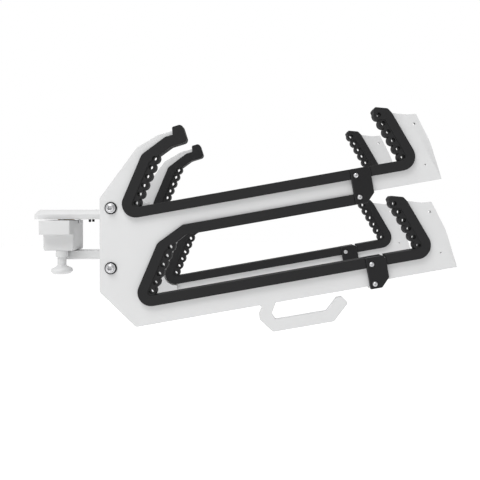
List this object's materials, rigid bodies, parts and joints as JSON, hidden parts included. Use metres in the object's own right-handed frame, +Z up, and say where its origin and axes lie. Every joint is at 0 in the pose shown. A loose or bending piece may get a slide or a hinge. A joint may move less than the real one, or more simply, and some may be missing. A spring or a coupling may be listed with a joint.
{
  "type": "board rack",
  "caption": "Swing-out rack of two parallel slotted forks with rubber-lined slots, telescoping clamped ends and an index plunger, for carrying boards on a tower.",
  "frame": {"origin": "middle of the hub's lower front face, where the rack seats against the tower's adapter bar", "axes": "+X along the arms from the hub to the tips, +Y from the front fork to the rear fork, +Z up"},
  "size_m": [0.96, 0.3346, 0.4766],
  "materials": {
    "white_coat": "satin white powder coat on aluminium plate",
    "rubber": "matte moulded black",
    "black_plate": "matte black anodised aluminium",
    "stainless": "bright stainless",
    "bronze": "sintered bronze"
  },
  "bodies": {
    "mount": {"hub_block": "white_coat", "pivot_bush_lower": "bronze", "pivot_bush_upper": "bronze", "plunger_body": "white_coat", "plunger_spring": "stainless"},
    "plunger": {"plunger_pin": "stainless", "pull_knob": "white_coat"},
    "rack": {"arm_grub_screw_front": "black_plate", "arm_grub_screw_rear": "black_plate", "clamp_front_lower_inner": "black_plate", "clamp_front_lower_outer": "black_plate", "clamp_front_upper_inner": "black_plate", "clamp_front_upper_outer": "black_plate", "clamp_rear_lower_inner": "black_plate", "clamp_rear_lower_outer": "black_plate", "clamp_rear_upper_inner": "black_plate", "clamp_rear_upper_outer": "black_plate", "clamp_screw_front_lower_bottom": "stainless", "clamp_screw_front_lower_top": "stainless", "clamp_screw_front_upper_bottom": "stainless", "clamp_screw_front_upper_top": "stainless", "clamp_screw_rear_lower_bottom": "stainless", "clamp_screw_rear_lower_top": "stainless", "clamp_screw_rear_upper_bottom": "stainless", "clamp_screw_rear_upper_top": "stainless", "cross_tube_lower": "white_coat", "cross_tube_upper": "white_coat", "flange_plate_front": "white_coat", "flange_plate_rear": "white_coat", "fork_bolt_front_lower": "stainless", "fork_bolt_front_upper": "stainless", "fork_bolt_rear_lower": "stainless", "fork_bolt_rear_upper": "stainless", "fork_front": "white_coat", "fork_rear": "white_coat", "fork_washer_front_lower": "black_plate", "fork_washer_front_upper": "black_plate", "fork_washer_rear_lower": "black_plate", "fork_washer_rear_upper": "black_plate", "liner_front_lower": "rubber", "liner_front_upper": "rubber", "liner_rear_lower": "rubber", "liner_rear_upper": "rubber", "lower_arm": "white_coat", "pivot_bolt": "stainless", "pivot_nut": "stainless", "stop_pin": "stainless", "swing_web": "white_coat", "top_arm": "white_coat", "web_screw_lower": "stainless", "web_screw_upper": "stainless"},
    "end_front_upper": {"end_plate_front_upper": "white_coat", "end_liner_front_upper": "rubber"},
    "end_front_lower": {"end_plate_front_lower": "white_coat", "end_liner_front_lower": "rubber"},
    "end_rear_upper": {"end_plate_rear_upper": "white_coat", "end_liner_rear_upper": "rubber"},
    "end_rear_lower": {"end_plate_rear_lower": "white_coat", "end_liner_rear_lower": "rubber"}
  },
  "joints": [
    {"name": "rack_swivel", "type": "hinge", "parent": "mount", "child": "rack", "pos_m": [0, 0.048, 0], "axis": [0, 0, 1], "range_deg": [0, 90]},
    {"name": "plunger_pull", "type": "slide", "parent": "mount", "child": "plunger", "axis": [0, 0, -1], "range_m": [-0.004, 0.01], "stiffness_N_per_m": 1500, "springref_m": -0.001, "deforming": ["plunger_spring"]},
    {"name": "end_front_upper_slide", "type": "slide", "parent": "rack", "child": "end_front_upper", "axis": [0.9848, 0, 0.1736], "range_m": [0, 0.05]},
    {"name": "end_front_lower_slide", "type": "slide", "parent": "rack", "child": "end_front_lower", "axis": [0.9848, 0, 0.1736], "range_m": [0, 0.05]},
    {"name": "end_rear_upper_slide", "type": "slide", "parent": "rack", "child": "end_rear_upper", "axis": [0.9848, 0, 0.1736], "range_m": [0, 0.05]},
    {"name": "end_rear_lower_slide", "type": "slide", "parent": "rack", "child": "end_rear_lower", "axis": [0.9848, 0, 0.1736], "range_m": [0, 0.05]}
  ]
}
